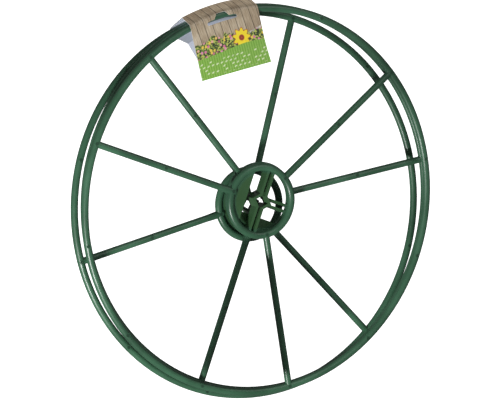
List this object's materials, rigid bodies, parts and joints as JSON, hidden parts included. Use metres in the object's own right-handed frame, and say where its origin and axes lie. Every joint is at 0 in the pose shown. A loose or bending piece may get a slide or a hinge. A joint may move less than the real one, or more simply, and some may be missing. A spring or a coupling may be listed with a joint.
{
  "type": "plant support wheel pack",
  "caption": "Pack of nested spoked plastic rings for holding up plants, each with a springy square stake grip in its hub, kept together by a folded header card",
  "frame": {"origin": "centre of the back wheel's hub, in the wheel's middle plane", "axes": "+Z along the back wheel's axis toward the front of the pack, +Y from the hub to the header card, +X to the right seen from the front"},
  "size_m": [0.4868, 0.4935, 0.0613],
  "materials": {
    "green_plastic": "satin moulded plastic",
    "printed_card": "printed card"
  },
  "bodies": {
    "header_card": {"card_front_half": "printed_card", "card_fold": "printed_card", "card_back_half": "printed_card"},
    "back_wheel": {"back_rim": "green_plastic", "back_hub_ring": "green_plastic", "back_hub_web": "green_plastic", "back_jaw_near": "green_plastic", "back_jaw_far": "green_plastic", "back_spoke_main": "green_plastic", "back_spoke_left": "green_plastic", "back_spoke_right": "green_plastic"},
    "middle_wheel": {"middle_rim": "green_plastic", "middle_hub_ring": "green_plastic", "middle_hub_web": "green_plastic", "middle_jaw_near": "green_plastic", "middle_jaw_far": "green_plastic", "middle_spoke_main": "green_plastic", "middle_spoke_left": "green_plastic", "middle_spoke_right": "green_plastic"},
    "front_wheel": {"front_rim": "green_plastic", "front_hub_ring": "green_plastic", "front_hub_web": "green_plastic", "front_jaw_near": "green_plastic", "front_jaw_far": "green_plastic", "front_spoke_main": "green_plastic", "front_spoke_left": "green_plastic", "front_spoke_right": "green_plastic"}
  },
  "joints": [
    {"name": "back_wheel_turn", "type": "hinge", "parent": "header_card", "child": "back_wheel", "pos_m": [0, 0, 0], "axis": [0, 0, 1], "range_deg": [-76, 12]},
    {"name": "middle_wheel_turn", "type": "hinge", "parent": "header_card", "child": "middle_wheel", "pos_m": [0.007, 0.0046, 0.01612], "axis": [-0.0078, -0.0279, 0.9996], "range_deg": [-9, 77]},
    {"name": "front_wheel_turn", "type": "hinge", "parent": "header_card", "child": "front_wheel", "pos_m": [0.0005, 0.0052, 0.03225], "axis": [-0.0156, -0.0558, 0.9983], "range_deg": [-40, 47]}
  ]
}
